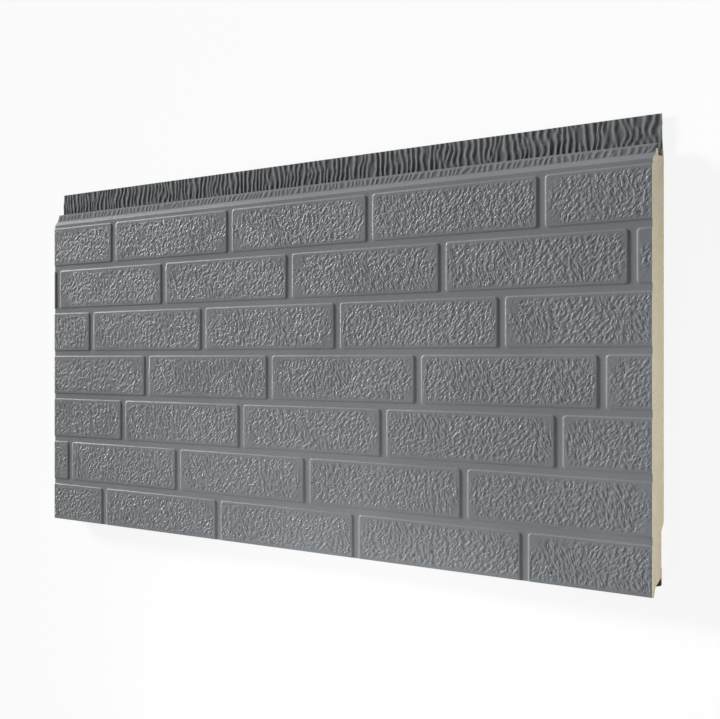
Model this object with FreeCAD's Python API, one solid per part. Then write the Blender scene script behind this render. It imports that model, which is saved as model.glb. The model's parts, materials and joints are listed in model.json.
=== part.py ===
"""Insulated metal siding panel with a pressed brick pattern, lying on its back.

The panel is a continuous lamination that is cross-cut to length: a thin painted steel sheet, pressed with
courses of bricks and folded along both long edges, rigid foam behind it, and a foil facing on the foam's back.
Millimetres. X runs along the courses, Y from the lip (-Y) to the fixing flange (+Y), Z out of the brick faces.
The origin is under the middle of the panel, on the plane of the wall or floor that it lies on.
"""

import FreeCAD
import Part
import math
import os

# Overall sizes
LENGTH = 1000.0
COVER = 383.0  # height that one panel adds to a wall, from lip to lip
THICKNESS = 16.0  # wall to brick faces
SHEET = 0.4
FOIL = 0.12

# Pressed bricks
COURSES = 7
COURSE_PITCH = COVER / COURSES
LOWEST_FACE = 43.3  # height of the bottom course's faces, which end at the lip
BRICK_PITCH = 242.5
JOINT_DEPTH = 0.8
BED_JOINT = 9.4  # between the faces of two courses
BED_SIDE = 2.4  # how far the side leans out, from the face to the joint's floor
HEAD_JOINT = 13.6  # between the faces of two bricks of a course
HEAD_SIDE = 4.0  # leans more, because the sheet is rolled along the courses
BRICK_CORNER = 2.0
CORNER_FLATS = 2
# Where a side bends between the joint's floor and the face: share of its lean, share of its depth
SIDE_BENDS = ((0.72, 0.84), (0.3, 0.18))
# Middle of the first head joint of each course from the left end, top course first
FIRST_JOINTS = (141.5, 8.6, 90.0, 215.5, 163.5, 39.0, 120.0)

# Lip and tongue along the bottom edge
HEM = 1.7  # thickness of the folded lip below the joints' floor
HEM_BEND = 0.6
TONGUE_HEIGHT = 9.2  # underside of the tongue above the lip
TONGUE_ROOT_DEPTH = 5.0  # where the lip meets the tongue, behind the brick faces
TONGUE_BEND = 1.6
TONGUE_REACH = 15.8  # length of the tongue along the foam's back
TONGUE_VOID = 7.0  # how far the foam stays clear of the tongue's heel

# Room at the back for the flange of the panel below
REBATE_DEPTH = 3.2
REBATE_TOP = 64.0
REBATE_SLOPE = 7.5

# Flange, groove and crest along the top edge, which the lip and tongue of the panel above close over
JOINT_PLAY = 1.2  # between the crest and the tongue above it
FLANGE_PLAY = 0.72  # between the flange and the tongue above it
FLANGE_WIDTH = 26.0  # strip above the crest
CREST_HEIGHT = 10.5  # from the groove's floor
CREST_FRONT_DEPTH = 7.2
CREST_WIDTH = 1.3
CREST_BEND = 0.6
CREST_UNFILLED = 4.5  # the foam stops this far below the crest
GROOVE_DEPTH = 8.9  # front of the groove, behind the brick faces
GROOVE_BEND = 1.0
BEVEL_RISE = 8.6  # the bevel's break below the crest
BEVEL_BREAK_DEPTH = 4.6
BEVEL_HEIGHT = 4.8  # from the bevel's foot to its break
BEVEL_BEND = 1.5
BACK_CHAMFER = 12.0  # height of the foam's slope behind the flange

# Heights from the lip, and levels above the wall
TONGUE_END = TONGUE_HEIGHT + TONGUE_REACH
CREST = COVER + TONGUE_HEIGHT - JOINT_PLAY
GROOVE_FLOOR = CREST - CREST_HEIGHT
BEVEL_BREAK = CREST - BEVEL_RISE
BEVEL_FOOT = BEVEL_BREAK - BEVEL_HEIGHT
OVERALL = CREST + FLANGE_WIDTH
JOINT_FLOOR = THICKNESS - JOINT_DEPTH
REBATE_FACE = FOIL + REBATE_DEPTH
TONGUE_FACE = REBATE_FACE - SHEET
FLANGE_FRONT = TONGUE_FACE - FLANGE_PLAY


def turn(before, corner, after):
    """Cross product of the two runs at a corner: positive where the path turns left."""
    ax, ay = corner[0] - before[0], corner[1] - before[1]
    bx, by = after[0] - corner[0], after[1] - corner[1]
    return ax * by - ay * bx


def shifted_line(start, end, distance):
    """A point of the run moved to its left by distance, and the run's direction."""
    dx, dy = end[0] - start[0], end[1] - start[1]
    length = math.hypot(dx, dy)
    dx, dy = dx / length, dy / length
    return (start[0] - dy * distance, start[1] + dx * distance), (dx, dy)


def meeting_point(first, second):
    """Where two lines, each a point and a direction, cross."""
    (px, py), (ux, uy) = first
    (qx, qy), (vx, vy) = second
    along = ((qx - px) * vy - (qy - py) * vx) / (ux * vy - uy * vx)
    return px + ux * along, py + uy * along


def offset_path(corners, distance):
    """An open path of (height, z, bend radius) corners moved to its left, with its bends kept concentric."""
    lines = [shifted_line(a, b, distance) for a, b in zip(corners, corners[1:])]
    start = lines[0][0]
    (ex, ey), (ux, uy) = lines[-1]
    run = math.dist(corners[-2][:2], corners[-1][:2])
    moved = [(start[0], start[1], 0.0)]
    for k in range(1, len(corners) - 1):
        left = turn(corners[k - 1], corners[k], corners[k + 1]) > 0
        radius = corners[k][2]
        if radius:
            radius += -distance if left else distance
        moved.append((*meeting_point(lines[k - 1], lines[k]), radius))
    moved.append((ex + ux * run, ey + uy * run, 0.0))
    return moved


def at_height(start, end, height):
    """The point of a run at a height, as a sharp corner."""
    share = (height - start[0]) / (end[0] - start[0])
    return height, start[1] + (end[1] - start[1]) * share, 0.0


def section_point(height, z):
    """A point of the panel's section, with heights counted from the lip."""
    return FreeCAD.Vector(0, height - OVERALL / 2, z)


def section_face(corners):
    """A closed section of (height, z, bend radius) corners, with each bend as an arc."""
    edges = []
    ends = []
    for k, corner in enumerate(corners):
        here = section_point(*corner[:2])
        before = section_point(*corners[k - 1][:2])
        after = section_point(*corners[(k + 1) % len(corners)][:2])
        if not corner[2]:
            ends.append((here, here))
            continue
        back = (before - here).normalize()
        on = (after - here).normalize()
        half = back.getAngle(on) / 2
        reach = corner[2] / math.tan(half)
        middle = here + (back + on).normalize() * (corner[2] / math.sin(half) - corner[2])
        ends.append((here + back * reach, here + on * reach))
        edges.append(Part.Arc(ends[-1][0], middle, ends[-1][1]).toShape())
    for (_, leave), (arrive, _) in zip(ends, ends[1:] + ends[:1]):
        edges.append(Part.LineSegment(leave, arrive).toShape())
    return Part.Face(Part.Wire(Part.sortEdges(edges)[0]))


def rolled(corners, overrun):
    """A section run along the panel, and past both ends by overrun."""
    face = section_face(corners)
    face.translate(FreeCAD.Vector(-LENGTH / 2 - overrun, 0, 0))
    return face.extrude(FreeCAD.Vector(LENGTH + 2 * overrun, 0, 0))


def sheet_path():
    """The painted side of the sheet, from the flange's top edge round to the end of the tongue."""
    crest_front = THICKNESS - CREST_FRONT_DEPTH
    return [
        (OVERALL, FLANGE_FRONT, 0.0),
        (GROOVE_FLOOR, FLANGE_FRONT, GROOVE_BEND),
        (GROOVE_FLOOR, THICKNESS - GROOVE_DEPTH, GROOVE_BEND),
        (CREST, crest_front - CREST_WIDTH, CREST_BEND),
        (CREST, crest_front, CREST_BEND),
        (BEVEL_BREAK, THICKNESS - BEVEL_BREAK_DEPTH, BEVEL_BEND),
        (BEVEL_FOOT, JOINT_FLOOR, BEVEL_BEND),
        (0.0, JOINT_FLOOR, 0.0),
        (0.0, JOINT_FLOOR - HEM, HEM_BEND),
        (TONGUE_HEIGHT, THICKNESS - TONGUE_ROOT_DEPTH, GROOVE_BEND),
        (TONGUE_HEIGHT, TONGUE_FACE, TONGUE_BEND),
        (TONGUE_END, TONGUE_FACE, 0.0),
    ]


def back_path():
    """The foam's back, from the end of the tongue up to its thin edge behind the flange."""
    return [
        (TONGUE_END, REBATE_FACE, 0.0),
        (REBATE_TOP - REBATE_SLOPE, REBATE_FACE, 0.0),
        (REBATE_TOP, FOIL, 0.0),
        (GROOVE_FLOOR - SHEET, FOIL, 0.0),
        (GROOVE_FLOOR - SHEET + BACK_CHAMFER, FLANGE_FRONT - SHEET, 0.0),
    ]


def sheet_corners():
    outside = sheet_path()
    return outside + offset_path(outside, SHEET)[::-1]


def foam_corners():
    inside = offset_path(sheet_path(), SHEET)
    fill = CREST - CREST_UNFILLED
    crest_back = at_height(inside[2], inside[3], fill)
    crest_front = at_height(inside[4], inside[5], fill)
    shelf = inside[10]
    void = [
        (shelf[0], shelf[1] + TONGUE_VOID, 0.0),
        (shelf[0] + TONGUE_VOID, shelf[1], 0.0),
    ]
    return inside[1:3] + [crest_back, crest_front] + inside[5:10] + void + back_path()[1:]


def foil_corners():
    return back_path() + offset_path(back_path(), -FOIL)[::-1]


def side_corners(lean, depth):
    """Corners of a brick's side as (distance out from its face, z), moved inwards by depth."""
    path = [(lean + 1, JOINT_FLOOR, 0.0), (lean, JOINT_FLOOR, 0.0)]
    path += [(lean * out, THICKNESS - JOINT_DEPTH * down, 0.0) for out, down in SIDE_BENDS]
    path += [(0.0, THICKNESS, 0.0), (-1.0, THICKNESS, 0.0)]
    return [corner[:2] for corner in offset_path(path, depth)[1:-1]]


def quarter(side, edge, head, bed):
    """A brick's corner in plan, from its side to its upper or lower edge, at one corner of the two sides' shapes."""
    points = []
    for k in range(CORNER_FLATS + 1):
        angle = math.pi / 2 * k / CORNER_FLATS
        x = side - BRICK_CORNER + (BRICK_CORNER + head[0]) * math.cos(angle)
        y = edge - BRICK_CORNER + (BRICK_CORNER + bed[0]) * math.sin(angle)
        z = head[1] * math.cos(angle) ** 2 + bed[1] * math.sin(angle) ** 2
        points.append((x, y, z))
    return points


def brick_outline(low, high, flush, depth, head, bed):
    """A brick's outline about its middle, at one corner of the two sides' shapes."""
    side = (BRICK_PITCH - HEAD_JOINT) / 2
    half = quarter(side, high, head, bed)
    if flush:
        half = [(side + head[0], low + depth, head[1])] + half
    else:
        half = [(x, low + high - y, z) for x, y, z in reversed(half)] + half
    outline = half + [(-x, y, z) for x, y, z in reversed(half)]
    return [FreeCAD.Vector(x, y - OVERALL / 2, z) for x, y, z in outline]


def flats(corners):
    """A four-sided face, or the two triangles of one that isn't flat."""
    a, b, c, d = corners
    normal = (b - a).cross(c - a).normalize()
    if abs(normal.dot(d - a)) < 1e-6:
        return [Part.Face(Part.makePolygon([a, b, c, d, a]))]
    return [Part.Face(Part.makePolygon([a, b, c, a])), Part.Face(Part.makePolygon([a, c, d, a]))]


def pad(outlines):
    """A solid through outlines with the same number of corners, the first and last of them flat."""
    faces = [Part.Face(Part.makePolygon(outline + outline[:1])) for outline in (outlines[0], outlines[-1])]
    for lower, upper in zip(outlines, outlines[1:]):
        for k in range(len(lower)):
            faces += flats([lower[k - 1], lower[k], upper[k], upper[k - 1]])
    return Part.makeSolid(Part.makeShell(faces))


def brick(low, high, flush, depth):
    """One brick's pressed pad, depth below its painted side: 0 for that side, the sheet for the hollow side.

    low and high are the edges of its face. A flush brick has no side below, where it ends at the lip.
    """
    sides = zip(side_corners(HEAD_SIDE, depth), side_corners(BED_SIDE, depth))
    return pad([brick_outline(low, high, flush, depth, head, bed) for head, bed in sides])


def bricks(depth):
    """The pads of every course, running past both ends, where the panel is cut."""
    pads = []
    for course, first_joint in enumerate(FIRST_JOINTS):
        flush = course == COURSES - 1
        high = LOWEST_FACE + (COURSES - 1 - course) * COURSE_PITCH
        low = 0.0 if flush else high - COURSE_PITCH + BED_JOINT
        pattern = brick(low, high, flush, depth)
        centre = first_joint % BRICK_PITCH - BRICK_PITCH / 2
        while centre - BRICK_PITCH / 2 < LENGTH:
            copy = pattern.copy()
            copy.translate(FreeCAD.Vector(centre - LENGTH / 2, 0, 0))
            pads.append(copy)
            centre += BRICK_PITCH
    return pads


def cut_to_length(shape):
    """The stretch between the two saw cuts."""
    corner = FreeCAD.Vector(-LENGTH / 2, -OVERALL, -THICKNESS)
    return shape.common(Part.makeBox(LENGTH, 2 * OVERALL, 3 * THICKNESS, corner)).removeSplitter()


def face_sheet():
    flat = rolled(sheet_corners(), BRICK_PITCH)
    return cut_to_length(flat.fuse(bricks(0.0)).cut(bricks(SHEET)))


def foam_core():
    return cut_to_length(rolled(foam_corners(), BRICK_PITCH).fuse(bricks(SHEET)))


def back_foil():
    return rolled(foil_corners(), 0.0)


def save(name, shape):
    solids = shape.Solids
    assert len(solids) == 1 and solids[0].isValid(), name
    solids[0].exportStep(f"parts/{name}.step")
    box = solids[0].BoundBox
    print(name, "volume", round(solids[0].Volume, 1), "faces", len(solids[0].Faces))
    print("  from", [round(v, 3) for v in (box.XMin, box.YMin, box.ZMin)])
    print("  to  ", [round(v, 3) for v in (box.XMax, box.YMax, box.ZMax)])


os.makedirs("parts", exist_ok=True)
save("face_sheet", face_sheet())
save("foam_core", foam_core())
save("back_foil", back_foil())
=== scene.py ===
import json
import math

import bmesh
import bpy
from mathutils import Matrix, Vector

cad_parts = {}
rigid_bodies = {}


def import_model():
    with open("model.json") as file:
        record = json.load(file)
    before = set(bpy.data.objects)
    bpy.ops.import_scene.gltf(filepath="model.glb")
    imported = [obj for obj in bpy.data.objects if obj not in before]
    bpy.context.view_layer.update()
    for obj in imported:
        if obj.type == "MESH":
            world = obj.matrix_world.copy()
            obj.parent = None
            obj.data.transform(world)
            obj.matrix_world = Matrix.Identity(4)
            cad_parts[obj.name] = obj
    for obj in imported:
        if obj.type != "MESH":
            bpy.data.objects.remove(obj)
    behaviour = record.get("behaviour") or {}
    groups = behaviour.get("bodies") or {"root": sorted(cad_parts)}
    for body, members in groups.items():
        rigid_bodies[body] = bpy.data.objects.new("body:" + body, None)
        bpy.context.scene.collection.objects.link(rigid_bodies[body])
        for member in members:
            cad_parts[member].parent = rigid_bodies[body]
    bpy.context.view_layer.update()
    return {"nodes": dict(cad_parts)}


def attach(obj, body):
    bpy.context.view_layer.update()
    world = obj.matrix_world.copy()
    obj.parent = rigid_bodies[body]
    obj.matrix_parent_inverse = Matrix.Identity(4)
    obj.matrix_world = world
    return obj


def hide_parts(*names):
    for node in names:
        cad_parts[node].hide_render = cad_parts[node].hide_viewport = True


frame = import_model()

MM = 0.001

# Overall sizes of the panel, in millimetres
LENGTH = 1000.0
COVER = 383.0
THICKNESS = 16.0
OVERALL = 417.0
SHEET = 0.4

# Pressed bricks
COURSES = 7
COURSE_PITCH = COVER / COURSES
LOWEST_FACE = 43.3  # height of the upper edge of the lowest course's faces
BRICK_PITCH = 242.5
JOINT_DEPTH = 0.8
BED_JOINT = 9.4
BED_SIDE = 2.4
HEAD_JOINT = 13.6
HEAD_SIDE = 4.0
BRICK_LENGTH = BRICK_PITCH - HEAD_JOINT
BRICK_HEIGHT = COURSE_PITCH - BED_JOINT
BRICK_CORNER = 1.6
CORNER_SEGMENTS = 4
# The first head joint of each course from the left end, from the top course down
FIRST_JOINTS = (141.5, 8.6, 90.0, 215.5, 163.5, 39.0, 120.0)
# A brick's side from the joint's floor to its face: (step inwards, step up)
BRICK_SIDE = (
    (0.55, 0.05),
    (0.40, 0.13),
    (0.36, 0.22),
    (0.36, 0.22),
    (0.35, 0.13),
    (0.38, 0.04),
    (0.7, 0.01),
)
COURSES_TOP = LOWEST_FACE + (COURSES - 1) * COURSE_PITCH + BED_JOINT / 2
FLUSH_CUT = 4.0  # height above the lip at which the bottom course runs on straight

# Section of the two long edges: heights from the lip, levels above the wall, bend radii
JOINT_FLOOR = THICKNESS - JOINT_DEPTH
BEVEL_FOOT = 377.6
BEVEL_LOW = 382.4
TOP_EDGE = (
    (BEVEL_FOOT, JOINT_FLOOR, 1.5),
    (BEVEL_LOW, 11.4, 1.5),
    (391.0, 8.8, 0.6),
    (391.0, 7.5, 0.6),
    (380.5, 7.1, 1.0),
    (380.5, 2.2, 1.0),
    (OVERALL, 2.2, 0.0),
)
BOTTOM_EDGE = (
    (0.0, 13.5, 0.6),
    (9.2, 11.0, 1.0),
    (9.2, 2.92, 1.6),
    (25.0, 2.92, 0.0),
)
BEND_SEGMENTS = 4
SMOOTH_ANGLE = 40  # edges of a smaller angle, in degrees, are shaded smooth

# Relief of the painted side
GRAIN_CELLS = (56, 3)  # coarse cells along the panel and up each brick
GRAIN_SPLIT = 7  # fine cells in a coarse one, each way
GRAIN_DEPTH = 0.4
GRAIN_RINGS = (0.0, 0.7, 1.0)  # strength of the grain, cell by cell from a brick's edge
GRAIN_FADE = (1.0, 6.0)  # heights above the lip between which the grain sets in
WRINKLE_CELLS = 74
WRINKLE_SPLIT = 7
WRINKLE_SPACING = 9.0
WRINKLE_DEPTH = 0.7
WRINKLE_SINK = 0.35  # share of the wrinkles' depth that lies below the flat sheet
FLANGE_WRINKLES = (388.0, OVERALL)
FLANGE_FADE = 4.0  # height over which the flange's wrinkles set in
BEVEL_WRINKLES = (BEVEL_LOW, 389.8)
BEVEL_FADE = (1.0, 1.2)  # heights over which the bevel's wrinkles set in and end
BEVEL_DEPTH = 0.4
BEVEL_LEAN = 0.08  # how far the bevel's wrinkles run along the panel for each millimetre up

# Patterns of the relief: periods in millimetres, and the noise levels of a soft step
NOISE_ROUGHNESS = 0.45
RISING_RIDGES = (-50, (3.0, 5.0))  # lean in degrees, periods across and along the ridges
FALLING_RIDGES = (35, (3.0, 4.8))
RIDGE_DISTORTION = 0.2
RIDGE_STEP = (0.3, 0.7)
LEAN_PATCHES = (70.0, 45.0)
LEAN_STEP = (0.585, 0.615)
SWAY_PERIODS = (26.0, 18.0)
SWAY_DETAIL = 1.0
SWAY = 1.6
FORK_PATCHES = (30.0, 24.0)
FORK_TURN = 0.4
FORK_STEP = (0.42, 0.58)
NARROW_SPACING = 0.8  # of the wrinkles in the other patches, as a share
NARROW_SWAY = 1.3
WRINKLE_STEP = (0.25, 1.0)

# Measures for finding places and faces of the mesh, in millimetres
SAME = 0.02  # places nearer than this count as one
WELD = 0.01  # points nearer than this are merged
OVERHANG = 0.05  # how far an edge has to reach past a cut
END_ROOM = 0.2  # how far the sheet's inner side may stand off the saw cuts
LEVEL_ROOM = 0.005
FLAT = 0.99  # least upward share of a flat face's normal
BRICK_FACE_AREA = 50.0
FLANGE_LEVEL = 3.0
FLANGE_FOOT = 381.0
FLANGE_ROOM = 0.1
BEVEL_TILT = 0.9
BEVEL_AREA = 500.0
BEVEL_ROOM = 1.0

# Paint
PAINT_DARK = (0.150, 0.158, 0.165)
PAINT_LIGHT = (0.168, 0.176, 0.183)
# Painted shade: the dark colour that the folds of the flange and the bevel go to
PAINTED_FOLD_SHADE = (0.045, 0.048, 0.05)
PAINT_DETAIL = 1.5
PAINT_ROUGHNESS = 0.30
PAINT_SPECULAR = 0.1
CLOUD_PERIODS = (180.0, 120.0)
CLOUD_TURN = 0.3
CLOUD_DETAIL = 2.0
CLOUD_STEP = (0.3, 0.7)
CLOUD_ROUGHNESS = 0.1
RIM_ROUGHNESS = 0.35
RIM_BELOW = (1.5, 0.5)  # how far below the bevel's wrinkles the rougher rim sets in
# How far the folds of the flange and the bevel go to the dark colour, as painted shade
FLANGE_SHADE = 0.52
BEVEL_SHADE = 0.5
GRAIN_BUMP = 0.4
WRINKLE_BUMP = 0.15

# Foam
FOAM_DARK = (0.68, 0.61, 0.44)
FOAM_LIGHT = (0.76, 0.70, 0.54)
# Painted shade in the hollows of the foam's cut cells
FOAM_PIT_SHADE = (0.58, 0.51, 0.37)
FOAM_ROUGHNESS = 0.9
FOAM_CELLS = 1100.0  # cells in a metre
FOAM_CLOUDS = 60.0
FOAM_DETAIL = 3.0
PIT_STEP = (0.0, 0.5)
PIT_STRENGTH = 0.6
PIT_DEPTH = 0.4

# Foil
FOIL_COLOUR = (0.78, 0.79, 0.80, 1)
FOIL_METALLIC = 0.9
FOIL_ROUGHNESS = 0.25
CREASE_PERIODS = (60.0, 90.0)
CREASE_TURN = 0.2
CREASE_DETAIL = 4.0
CREASE_DISTORTION = 0.6
CREASE_ROUGHNESS = 0.2
CREASE_BUMP = 0.8
WEAVE_CELLS = 450.0
WEAVE_BUMP = 0.12
FOIL_STRENGTH = 0.5

# Camera, from the photograph's perspective
CAMERA_PLACE = (1.491, -0.004, 1.179)
CAMERA_ALONG = (-0.7644, 0.0, -0.6447)
LENS = 87.9
SENSOR = 36
NEAREST = 0.05

# Floor and room
WHITE = (1, 1, 1, 1)
FLOOR_SIZE = 12
FLOOR_DROP = 0.0004
FLOOR_COLOUR = (0.9, 0.9, 0.9, 1)
FLOOR_GLOW = 0.88  # share of plain white in the floor as the camera sees it
ROOM_LIGHT = 0.07

# Lamps, in metres from the panel's middle
WINDOW = (-2.8, 0.86, 0.543)
WINDOW_POWER = 10.6
WINDOW_ANGLE = 8
# Lamps that show only as glints in the paint: name, place, power, angle of the soft edge
GLINTS = (
    ("grain glint", WINDOW, 1.0, WINDOW_ANGLE),
    ("upper edge glint", (-0.85, 0.45, 0.2), 0.5, 15),
    ("brick side glint", (-0.985, 0.05, 0.05), 0.35, 6),
)
# Soft lamps: name, place, target, size, power
FILLS = (
    ("front fill", (0.08, -0.56, 0.31), (0.08, -0.1, 0), 0.4, 2.5),
    ("top fill", (0.1, 1.3, 0.45), (0.1, 0.1, 0), 0.8, 1.0),
    ("end fill", (0.9, -0.06, 0.08), (0.5, -0.03, 0), 0.4, 1.4),
)


class Field:
    """A socket of a node tree that can be calculated with: each operation adds a Math node."""

    def __init__(self, tree, socket=None):
        self.tree = tree
        self.socket = socket

    def node(self, kind, settings=None, inputs=None, output=0):
        """A new node with these settings, and values or links in these inputs."""
        made = self.tree.nodes.new(kind)
        for name, value in (settings or {}).items():
            setattr(made, name, value)
        for name, value in (inputs or {}).items():
            if isinstance(value, Field):
                self.tree.links.new(value.socket, made.inputs[name])
            else:
                made.inputs[name].default_value = value
        return Field(self.tree, made.outputs[output] if len(made.outputs) else None)

    def math(self, operation, *values):
        return self.node("ShaderNodeMath", {"operation": operation}, dict(enumerate(values)))

    def __add__(self, other):
        return self.math("ADD", self, other)

    def __sub__(self, other):
        return self.math("SUBTRACT", self, other)

    def __rsub__(self, other):
        return self.math("SUBTRACT", other, self)

    def __mul__(self, other):
        return self.math("MULTIPLY", self, other)

    def smooth(self, low, high):
        """0 below low and 1 above high, with a soft step between them."""
        settings = {"interpolation_type": "SMOOTHSTEP"}
        inputs = {"Value": self, "From Min": low, "From Max": high}
        return self.node("ShaderNodeMapRange", settings, inputs)

    def part(self, axis):
        """One coordinate of a vector."""
        return self.node("ShaderNodeSeparateXYZ", None, {"Vector": self}, axis)


# Relief, as a field of the panel's own coordinates, for the mesh and for the paint

def turned_noise(place, angle, periods, detail, distortion=0.0):
    """Noise about 0.5, drawn out along a direction: periods across and along it."""
    scale = tuple(1 / (period * MM) for period in periods) + (0.0,)
    flat = place.node(
        "ShaderNodeVectorRotate",
        {"rotation_type": "Z_AXIS"},
        {"Vector": place, "Angle": -angle},
    )
    stretched = place.node("ShaderNodeVectorMath", {"operation": "MULTIPLY"}, {0: flat, 1: scale})
    inputs = {
        "Vector": stretched,
        "Scale": 1.0,
        "Detail": detail,
        "Roughness": NOISE_ROUGHNESS,
        "Distortion": distortion,
    }
    return place.node("ShaderNodeTexNoise", {"noise_dimensions": "2D"}, inputs)


def grain_height(place, detail):
    """Pressed grain of the bricks, 0 to 1: short ridges that lean to either side, by patches."""
    rising, falling = (
        turned_noise(place, math.radians(lean), periods, detail, RIDGE_DISTORTION)
        for lean, periods in (RISING_RIDGES, FALLING_RIDGES)
    )
    patches = turned_noise(place, 0.0, LEAN_PATCHES, 0.0).smooth(*LEAN_STEP)
    return (rising + (falling - rising) * patches).smooth(*RIDGE_STEP)


def waves(place, spacing, lean, sway):
    """Wavy ridges that run up the panel, 0 to 1, at a spacing in millimetres along it."""
    phase = (place.part("X") - place.part("Y") * lean) * (1 / (spacing * MM)) + sway
    return place.math("SINE", phase * math.tau) * 0.5 + 0.5


def wrinkle_height(place, lean):
    """Wrinkles of the flange and the bevel, 0 to 1: ridges that fork where two spacings meet."""
    sway = turned_noise(place, 0.0, SWAY_PERIODS, SWAY_DETAIL) * SWAY
    patches = turned_noise(place, FORK_TURN, FORK_PATCHES, 0.0).smooth(*FORK_STEP)
    wide = waves(place, WRINKLE_SPACING, lean, sway)
    narrow = waves(place, WRINKLE_SPACING * NARROW_SPACING, lean, sway * NARROW_SWAY)
    return (wide + (narrow - wide) * patches).smooth(*WRINKLE_STEP)


# Modelling helpers

def clear_selection():
    for thing in bpy.context.selected_objects:
        thing.select_set(False)


def begin(name):
    """Names the active object and its mesh, and goes into its edit mode."""
    piece = bpy.context.object
    piece.name = name
    piece.data.name = name
    bpy.ops.object.mode_set(mode="EDIT")
    return piece


def pick(piece, kind, rule):
    """Selects just the vertices, edges or faces of the edit mesh that a rule holds for."""
    bpy.ops.mesh.select_mode(type=kind)
    bpy.ops.mesh.select_all(action="DESELECT")
    mesh = bmesh.from_edit_mesh(piece.data)
    for item in {"VERT": mesh.verts, "EDGE": mesh.edges, "FACE": mesh.faces}[kind]:
        if not item.hide and rule(item):
            item.select = True
    mesh.select_flush_mode()
    bmesh.update_edit_mesh(piece.data)


def slice_at(point, normal, **clear):
    """Cuts all that isn't hidden along a plane."""
    bpy.ops.mesh.select_all(action="SELECT")
    bpy.ops.mesh.bisect(plane_co=point, plane_no=normal, **clear)


def move(x, y, z):
    bpy.ops.transform.translate(value=(x * MM, y * MM, z * MM))


def extrude(y, z):
    bpy.ops.mesh.extrude_region_move(TRANSFORM_OT_translate={"value": (0, y * MM, z * MM)})


def height(y):
    """A height above the lip, as a place in the panel's frame."""
    return (y - OVERALL / 2) * MM


def near(a, b, room=SAME):
    return abs(a - b) < room * MM


def apply_modifier(piece, kind, **settings):
    bpy.context.view_layer.objects.active = piece
    modifier = piece.modifiers.new(kind.title(), kind)
    for name, value in settings.items():
        setattr(modifier, name, value)
    bpy.ops.object.modifier_apply(modifier=modifier.name)


# The sheet

def brick_tile():
    """One brick with half of each joint round it, made with equal sides and then drawn out.

    It stands where the lowest course is, but still with the foot that is cut off there.
    """
    clear_selection()
    bpy.ops.mesh.primitive_plane_add(size=1)
    tile = begin("face_sheet_painted")
    stretch = HEAD_SIDE / BED_SIDE
    spread = 2 * BED_SIDE
    size = ((BRICK_LENGTH / stretch + spread) * MM, (BRICK_HEIGHT + spread) * MM, 1)
    bpy.ops.transform.resize(value=size)
    bpy.ops.mesh.select_mode(type="VERT")
    bpy.ops.mesh.select_all(action="SELECT")
    corner = (BRICK_CORNER + BED_SIDE) * MM
    bpy.ops.mesh.bevel(affect="VERTICES", offset=corner, segments=CORNER_SEGMENTS)
    bpy.ops.mesh.select_mode(type="FACE")
    bpy.ops.mesh.select_all(action="SELECT")
    for inwards, up in BRICK_SIDE:
        bpy.ops.mesh.inset(thickness=inwards * MM, depth=up * MM)
    bpy.ops.mesh.primitive_plane_add(size=1)
    bpy.ops.transform.resize(value=(BRICK_PITCH / stretch * MM, COURSE_PITCH * MM, 1))
    bpy.ops.mesh.delete(type="ONLY_FACE")
    pick(tile, "EDGE", lambda edge: len(edge.link_faces) < 2)
    bpy.ops.mesh.fill(use_beauty=True)
    bpy.ops.mesh.select_all(action="SELECT")
    bpy.ops.transform.resize(value=(stretch, 1, 1), center_override=(0, 0, 0))
    move(0, LOWEST_FACE - BRICK_HEIGHT / 2 - OVERALL / 2, JOINT_FLOOR)
    bpy.ops.mesh.normals_make_consistent(inside=False)
    bpy.ops.object.mode_set(mode="OBJECT")
    return tile


def lay_courses(tile):
    """Rows of tiles, each with its own first joint, joined and cut to the panel's length."""
    copies = math.ceil(LENGTH / BRICK_PITCH) + 1
    apply_modifier(
        tile,
        "ARRAY",
        count=copies,
        use_relative_offset=False,
        use_constant_offset=True,
        constant_offset_displace=(BRICK_PITCH * MM, 0, 0),
        use_merge_vertices=True,
        merge_threshold=WELD * MM,
    )
    rows = []
    for course, first_joint in enumerate(FIRST_JOINTS):
        row = tile.copy()
        row.data = tile.data.copy()
        bpy.context.collection.objects.link(row)
        along = first_joint - BRICK_PITCH / 2 - LENGTH / 2
        up = (COURSES - 1 - course) * COURSE_PITCH
        row.data.transform(Matrix.Translation((along * MM, up * MM, 0)))
        rows.append(row)
    cut_foot(rows[-1])
    clear_selection()
    bpy.data.objects.remove(tile)
    for row in rows:
        row.select_set(True)
    bpy.context.view_layer.objects.active = rows[0]
    bpy.ops.object.join()
    sheet = begin("face_sheet_painted")
    weld_courses(sheet)
    half = LENGTH / 2 * MM
    slice_at((half, 0, 0), (1, 0, 0), clear_outer=True)
    slice_at((-half, 0, 0), (-1, 0, 0), clear_outer=True)
    bpy.ops.mesh.select_all(action="SELECT")
    bpy.ops.mesh.normals_make_consistent(inside=False)
    return sheet


def cut_foot(row):
    """Lets the bottom course's bricks run straight down to the lip, with no side below them."""
    clear_selection()
    row.select_set(True)
    bpy.context.view_layer.objects.active = row
    bpy.ops.object.mode_set(mode="EDIT")
    slice_at((0, height(FLUSH_CUT), 0), (0, -1, 0), clear_outer=True)
    pick(row, "VERT", lambda vertex: near(vertex.co.y, height(FLUSH_CUT)))
    extrude(-FLUSH_CUT, 0)
    bpy.ops.object.mode_set(mode="OBJECT")


def weld_courses(sheet):
    """Cuts the joint's floor where the tiles on its other side end, so that rows share corners."""
    for boundary in range(1, COURSES):
        y = height(COURSES_TOP - boundary * COURSE_PITCH)
        for course in (boundary - 1, boundary):
            place = FIRST_JOINTS[course] - LENGTH / 2 - BRICK_PITCH
            while place < LENGTH / 2:
                x = place * MM
                pick(sheet, "FACE", lambda face: floor_beside(face, x, y))
                if sheet.data.total_face_sel:
                    bpy.ops.mesh.bisect(plane_co=(x, 0, 0), plane_no=(1, 0, 0))
                place += BRICK_PITCH
    bpy.ops.mesh.select_all(action="SELECT")
    bpy.ops.mesh.remove_doubles(threshold=WELD * MM)


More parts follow.
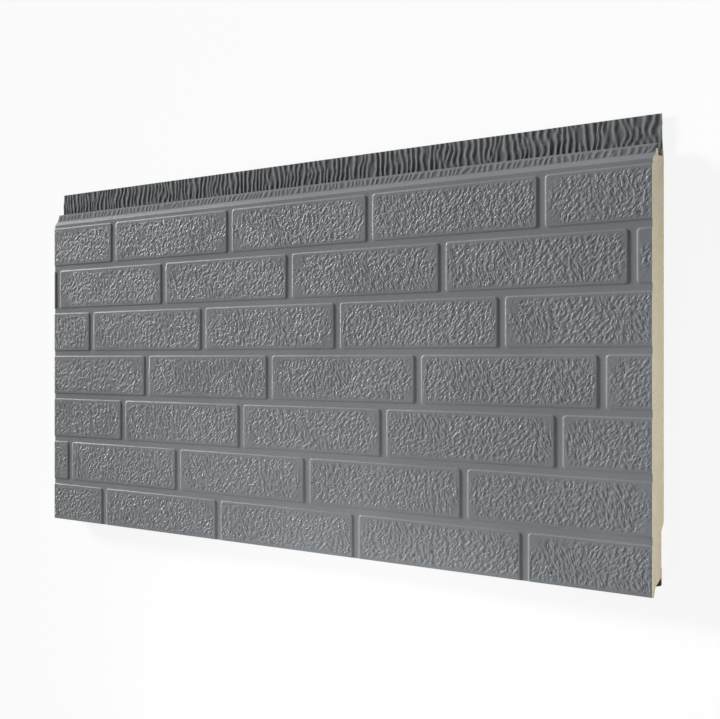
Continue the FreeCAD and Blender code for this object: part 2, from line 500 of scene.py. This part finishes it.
def floor_beside(face, x, y):
    """Whether a face has an edge on a course's boundary that passes x."""
    past = OVERHANG * MM
    for edge in face.edges:
        a, b = (vertex.co for vertex in edge.verts)
        passes = min(a.x, b.x) < x - past and max(a.x, b.x) > x + past
        if passes and near(a.y, y) and near(b.y, y):
            return True
    return False


def fold(corners):
    """Carries the selected long edge of the sheet on, from corner to corner."""
    for before, corner in zip(corners, corners[1:]):
        extrude(corner[0] - before[0], corner[1] - before[1])


def pick_long_edge(sheet, y):
    """Selects the edge of the sheet that runs along the panel at a height."""
    pick(sheet, "EDGE", lambda edge: all(near(vertex.co.y, height(y)) for vertex in edge.verts))


def round_bends(sheet, path):
    """Rounds the corners of a folded edge: the path starts on the run before the first one."""
    for before, corner, after in zip(path, path[1:], path[2:]):
        radius = corner[2]
        into = Vector((corner[0] - before[0], corner[1] - before[1]))
        on = Vector((after[0] - corner[0], after[1] - corner[1]))
        reach = radius * math.tan(into.angle(on) / 2)
        pick(sheet, "EDGE", lambda edge: all(at_corner(vertex, corner) for vertex in edge.verts))
        bpy.ops.mesh.bevel(offset=reach * MM, segments=BEND_SEGMENTS, affect="EDGES")


def at_corner(vertex, corner):
    return near(vertex.co.y, height(corner[0])) and near(vertex.co.z, corner[1] * MM)


def fold_edges(sheet):
    """The flange, groove and crest along the top, and the lip and tongue along the bottom."""
    pick_long_edge(sheet, COURSES_TOP)
    fold(((COURSES_TOP, JOINT_FLOOR, 0.0),) + TOP_EDGE)
    pick_long_edge(sheet, 0)
    extrude(0, -JOINT_DEPTH)
    lip = BOTTOM_EDGE[0][1] * MM
    bpy.ops.transform.resize(value=(1, 1, 0), center_override=(0, 0, lip))
    fold(BOTTOM_EDGE)
    for edge in (TOP_EDGE, BOTTOM_EDGE):
        round_bends(sheet, ((0.0, JOINT_FLOOR, 0.0),) + edge)
    bpy.ops.mesh.select_all(action="SELECT")
    bpy.ops.mesh.normals_make_consistent(inside=False)


def square_ends(sheet):
    """Brings the inner side of the sheet's two ends back onto the saw cuts."""
    for end in (-LENGTH / 2, LENGTH / 2):
        pick(sheet, "VERT", lambda vertex: near(vertex.co.x, end * MM, END_ROOM))
        bpy.ops.transform.resize(value=(0, 1, 1), center_override=(end * MM, 0, 0))


def is_above(face, low):
    return all(vertex.co.y > height(low) for vertex in face.verts)


def is_brick_face(face):
    wide = face.calc_area() > BRICK_FACE_AREA * MM * MM
    level = all(near(vertex.co.z, THICKNESS * MM, LEVEL_ROOM) for vertex in face.verts)
    return wide and level and face.normal.z > FLAT


def is_flange(face):
    low = all(vertex.co.z < FLANGE_LEVEL * MM for vertex in face.verts)
    return low and abs(face.normal.z) > FLAT and is_above(face, FLANGE_FOOT)


def is_wrinkled_flange(face):
    return is_flange(face) and is_above(face, FLANGE_WRINKLES[0] - FLANGE_ROOM)


def is_bevel(face):
    wide = face.calc_area() > BEVEL_AREA * MM * MM
    above = is_above(face, BEVEL_WRINKLES[0] - BEVEL_ROOM)
    return wide and above and face.normal.z > BEVEL_TILT


def show_only(sheet, rule):
    """Hides all but the faces that a rule holds for."""
    bpy.ops.mesh.reveal(select=False)
    pick(sheet, "FACE", rule)
    bpy.ops.mesh.hide(unselected=True)


def cut_columns(count):
    """Cuts all that isn't hidden into columns along the panel."""
    for k in range(1, count):
        slice_at(((k / count - 0.5) * LENGTH * MM, 0, 0), (1, 0, 0))


def split(count):
    """Cuts each cell of what isn't hidden into fine ones, count each way."""
    bpy.ops.mesh.select_all(action="SELECT")
    bpy.ops.mesh.subdivide(number_cuts=count - 1)


def weigh(sheet, name, rings):
    """A vertex group over all that isn't hidden, stronger ring by ring from its edges."""
    bpy.ops.mesh.select_all(action="SELECT")
    group = sheet.vertex_groups.new(name=name)
    sheet.vertex_groups.active_index = group.index
    for weight in rings:
        bpy.context.scene.tool_settings.vertex_group_weight = weight
        bpy.ops.object.vertex_group_assign()
        bpy.ops.mesh.select_less()


def cut_wrinkle_net(sheet):
    """A fine net on both sides of the flange and on the bevel below the crest."""
    show_only(sheet, is_flange)
    slice_at((0, height(FLANGE_WRINKLES[0]), 0), (0, 1, 0))
    for name, rule in (("flange_wrinkles", is_wrinkled_flange), ("bevel_wrinkles", is_bevel)):
        show_only(sheet, rule)
        cut_columns(WRINKLE_CELLS)
        split(WRINKLE_SPLIT)
        weigh(sheet, name, (1.0,))
    bpy.ops.mesh.reveal(select=False)


def cut_grain_net(sheet):
    """A fine net on the brick faces, with the grain's strength on it."""
    show_only(sheet, is_brick_face)
    columns, rows = GRAIN_CELLS
    cut_columns(columns)
    for course in range(COURSES):
        high = LOWEST_FACE + course * COURSE_PITCH
        for k in range(1, rows):
            slice_at((0, height(high - k / rows * BRICK_HEIGHT), 0), (0, 1, 0))
    split(GRAIN_SPLIT)
    weigh(sheet, "grain", GRAIN_RINGS)
    bpy.ops.mesh.reveal(select=False)


def named(start, name):
    return start.node("GeometryNodeInputNamedAttribute", {"data_type": "FLOAT"}, {"Name": name})


def kept(start, mesh, name, value):
    """Stores a field on the mesh, for the paint to read."""
    settings = {"data_type": "FLOAT", "domain": "POINT"}
    inputs = {"Geometry": mesh, "Name": name, "Value": value}
    return start.node("GeometryNodeStoreNamedAttribute", settings, inputs)


def press_relief(sheet):
    """Presses the grain into the bricks and the wrinkles into the flange and the bevel.

    The grain moves only the front side of the sheet, so the sheet is thinner under it.
    """
    tree = bpy.data.node_groups.new("relief", "GeometryNodeTree")
    for side in ("INPUT", "OUTPUT"):
        tree.interface.new_socket("Geometry", in_out=side, socket_type="NodeSocketGeometry")
    start = Field(tree)
    mesh = start.node("NodeGroupInput")
    place = start.node("GeometryNodeInputPosition")
    up = place.part("Y")
    low, high = BEVEL_WRINKLES
    grain = named(start, "grain") * up.smooth(height(GRAIN_FADE[0]), height(GRAIN_FADE[1]))
    rise = up.smooth(height(FLANGE_WRINKLES[0]), height(FLANGE_WRINKLES[0] + FLANGE_FADE))
    ends = up.smooth(height(low), height(low + BEVEL_FADE[0]))
    ends = ends - up.smooth(height(high - BEVEL_FADE[1]), height(high))
    flange = named(start, "flange_wrinkles") * rise
    bevel = named(start, "bevel_wrinkles") * ends
    lift = (grain_height(place, 0.0) - 1.0) * grain * (GRAIN_DEPTH * MM)
    for share, lean, depth in ((flange, 0.0, WRINKLE_DEPTH), (bevel, BEVEL_LEAN, BEVEL_DEPTH)):
        wrinkles = wrinkle_height(place, lean)
        lift = lift + (wrinkles - WRINKLE_SINK) * share * (depth * MM)
    offset = start.node("ShaderNodeCombineXYZ", None, {"Z": lift})
    moved = start.node("GeometryNodeSetPosition", None, {"Geometry": mesh, "Offset": offset})
    for name, share in (("grain_share", grain), ("flange_share", flange), ("bevel_share", bevel)):
        moved = kept(start, moved, name, share)
    start.node("NodeGroupOutput", None, {0: moved})
    apply_modifier(sheet, "NODES", node_group=tree)


def face_sheet():
    sheet = lay_courses(brick_tile())
    fold_edges(sheet)
    bpy.ops.object.mode_set(mode="OBJECT")
    apply_modifier(sheet, "SOLIDIFY", thickness=SHEET * MM, offset=-1, use_even_offset=True)
    bpy.ops.object.mode_set(mode="EDIT")
    square_ends(sheet)
    cut_wrinkle_net(sheet)
    cut_grain_net(sheet)
    bpy.ops.object.mode_set(mode="OBJECT")
    press_relief(sheet)
    clear_selection()
    sheet.select_set(True)
    bpy.ops.object.shade_smooth_by_angle(angle=math.radians(SMOOTH_ANGLE))
    return sheet


# Finishes

def finish(name):
    """A new material: the material, its shader's node and the place on the object as a field."""
    material = bpy.data.materials.new(name)
    material.use_nodes = True
    start = Field(material.node_tree)
    place = start.node("ShaderNodeTexCoord", None, None, "Object")
    return material, material.node_tree.nodes["Principled BSDF"], place


def feed(shader, name, field):
    field.tree.links.new(field.socket, shader.inputs[name])


def mixed(share, low, high):
    """Two colours mixed by a field: each of them is a colour or a field as well."""
    low, high = (end if isinstance(end, Field) else (*end, 1) for end in (low, high))
    return share.node("ShaderNodeMix", {"data_type": "RGBA"}, {0: share, 6: low, 7: high}, 2)


def bump(shader, relief, strength, distance):
    inputs = {"Strength": strength, "Distance": distance * MM, "Height": relief}
    feed(shader, "Normal", relief.node("ShaderNodeBump", None, inputs))


def stored(start, name):
    """A field that was stored on the mesh."""
    return start.node("ShaderNodeAttribute", {"attribute_name": name}, None, "Fac")


def coil_coating():
    """Satin grey paint, with painted shade in the folds between the wrinkles of the flange and the
    bevel, and rougher there.
    """
    material, shader, place = finish("satin grey coil coating")
    grain_share = stored(place, "grain_share")
    flange_share = stored(place, "flange_share")
    bevel_share = stored(place, "bevel_share")
    grain = grain_height(place, PAINT_DETAIL)
    wrinkles = wrinkle_height(place, 0.0)
    leaning = wrinkle_height(place, BEVEL_LEAN)
    clouds = turned_noise(place, CLOUD_TURN, CLOUD_PERIODS, CLOUD_DETAIL)
    rim = place.part("Y").smooth(*(height(BEVEL_WRINKLES[0] - below) for below in RIM_BELOW))
    # Painted shade in the folds between the wrinkles of the flange and the bevel
    painted_fold_shade = (1 - wrinkles) * flange_share * FLANGE_SHADE
    painted_fold_shade = painted_fold_shade + (1 - leaning) * bevel_share * BEVEL_SHADE
    colour = mixed(clouds.smooth(*CLOUD_STEP), PAINT_DARK, PAINT_LIGHT)
    feed(shader, "Base Color", mixed(painted_fold_shade, colour, PAINTED_FOLD_SHADE))
    roughness = clouds * CLOUD_ROUGHNESS + PAINT_ROUGHNESS + rim * RIM_ROUGHNESS
    feed(shader, "Roughness", roughness)
    shader.inputs["Specular IOR Level"].default_value = PAINT_SPECULAR
    relief = grain * grain_share * GRAIN_BUMP
    relief = relief + wrinkles * flange_share * WRINKLE_BUMP
    relief = relief + leaning * bevel_share * WRINKLE_BUMP
    bump(shader, relief, 1.0, 1.0)
    return material


def rigid_foam():
    """Cream foam, sawn at the ends, with its cut cells: pits in the relief, with painted shade in
    their hollows.
    """
    material, shader, place = finish("cream rigid foam")
    cells = place.node("ShaderNodeTexVoronoi", None, {"Vector": place, "Scale": FOAM_CELLS})
    inputs = {"Vector": place, "Scale": FOAM_CLOUDS, "Detail": FOAM_DETAIL}
    clouds = place.node("ShaderNodeTexNoise", None, inputs)
    # The cut cells: pits in the relief, and painted shade in their hollows
    pits_and_shade = cells.smooth(*PIT_STEP)
    feed(shader, "Base Color", mixed(pits_and_shade, FOAM_PIT_SHADE, mixed(clouds, FOAM_DARK, FOAM_LIGHT)))
    shader.inputs["Roughness"].default_value = FOAM_ROUGHNESS
    bump(shader, pits_and_shade, PIT_STRENGTH, PIT_DEPTH)
    return material


def foil_facing():
    """Creased foil with a fine pressed pattern."""
    material, shader, place = finish("creased foil")
    creases = turned_noise(place, CREASE_TURN, CREASE_PERIODS, CREASE_DETAIL, CREASE_DISTORTION)
    weave = place.node("ShaderNodeTexVoronoi", None, {"Vector": place, "Scale": WEAVE_CELLS})
    shader.inputs["Base Color"].default_value = FOIL_COLOUR
    shader.inputs["Metallic"].default_value = FOIL_METALLIC
    feed(shader, "Roughness", creases * CREASE_ROUGHNESS + FOIL_ROUGHNESS)
    bump(shader, creases * CREASE_BUMP + weave * WEAVE_BUMP, FOIL_STRENGTH, 1.0)
    return material


# Light, floor and camera

def aim(thing, place, target):
    thing.location = place
    thing.rotation_euler = (Vector(target) - Vector(place)).to_track_quat("-Z", "Y").to_euler()
    bpy.context.collection.objects.link(thing)


def far_lamp(name, place, power, angle):
    """Parallel light from a direction, with soft edges of an angle in degrees."""
    lamp = bpy.data.lights.new(name, "SUN")
    lamp.energy = power
    lamp.angle = math.radians(angle)
    thing = bpy.data.objects.new(name, lamp)
    aim(thing, place, (0, 0, 0))
    return thing


def soft_lamp(name, place, target, size, power):
    lamp = bpy.data.lights.new(name, "AREA")
    lamp.shape = "DISK"
    lamp.size = size
    lamp.energy = power
    aim(bpy.data.objects.new(name, lamp), place, target)


def set_camera():
    camera = bpy.data.cameras.new("camera")
    camera.lens = LENS
    camera.sensor_width = SENSOR
    camera.clip_start = NEAREST
    thing = bpy.data.objects.new("camera", camera)
    back = -Vector(CAMERA_ALONG).normalized()
    up = Vector((0, 1, 0))
    right = up.cross(back)
    turn = Matrix((right, up, back)).transposed().to_4x4()
    thing.matrix_world = Matrix.Translation(CAMERA_PLACE) @ turn
    bpy.context.collection.objects.link(thing)
    bpy.context.scene.camera = thing


def in_view(start):
    """1 for the rays that show the background, directly or in a reflection."""
    seen = start.node("ShaderNodeLightPath", None, None, "Is Camera Ray")
    return seen + start.node("ShaderNodeLightPath", None, None, "Is Glossy Ray")


def set_floor():
    clear_selection()
    bpy.ops.mesh.primitive_plane_add(size=FLOOR_SIZE, location=(0, 0, -FLOOR_DROP))
    floor = bpy.context.object
    floor.name = "floor"
    material = bpy.data.materials.new("pale floor")
    material.use_nodes = True
    tree = material.node_tree
    tree.nodes.clear()
    start = Field(tree)
    plain = start.node("ShaderNodeBsdfDiffuse", None, {"Color": FLOOR_COLOUR})
    white = start.node("ShaderNodeEmission", None, {"Color": WHITE, "Strength": 1.0})
    glow = in_view(start) * FLOOR_GLOW
    shader = start.node("ShaderNodeMixShader", None, {0: glow, 1: plain, 2: white})
    start.node("ShaderNodeOutputMaterial", None, {"Surface": shader})
    floor.data.materials.append(material)
    return floor


def set_room():
    """Dim light from all sides, with a background that shows as white."""
    world = bpy.data.worlds.new("studio")
    world.use_nodes = True
    tree = world.node_tree
    tree.nodes.clear()
    start = Field(tree)
    dim, white = (
        start.node("ShaderNodeBackground", None, {"Color": WHITE, "Strength": strength})
        for strength in (ROOM_LIGHT, 1.0)
    )
    shader = start.node("ShaderNodeMixShader", None, {0: in_view(start), 1: dim, 2: white})
    start.node("ShaderNodeOutputWorld", None, {"Surface": shader})
    bpy.context.scene.world = world


def set_light(receivers):
    """Low light from a window at the left, weaker glints in the paint, and soft fills.

    The window has no gloss of its own, and it lights only its receivers: it would burn out
    the foam's cut end that faces it.
    """
    set_room()
    window = far_lamp("window", WINDOW, WINDOW_POWER, WINDOW_ANGLE)
    window.visible_glossy = False
    lit = bpy.data.collections.new("lit by the window")
    window.light_linking.receiver_collection = lit
    for thing in receivers:
        lit.objects.link(thing)
    for glint in GLINTS:
        far_lamp(*glint).visible_diffuse = False
    for fill in FILLS:
        soft_lamp(*fill)


sheet = face_sheet()
sheet.data.materials.append(coil_coating())
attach(sheet, "root")
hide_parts("face_sheet")

for node, material in (("foam_core", rigid_foam()), ("back_foil", foil_facing())):
    frame["nodes"][node].material_slots[0].material = material

set_light((sheet, set_floor()))
set_camera()
bpy.context.scene.view_settings.view_transform = "Standard"
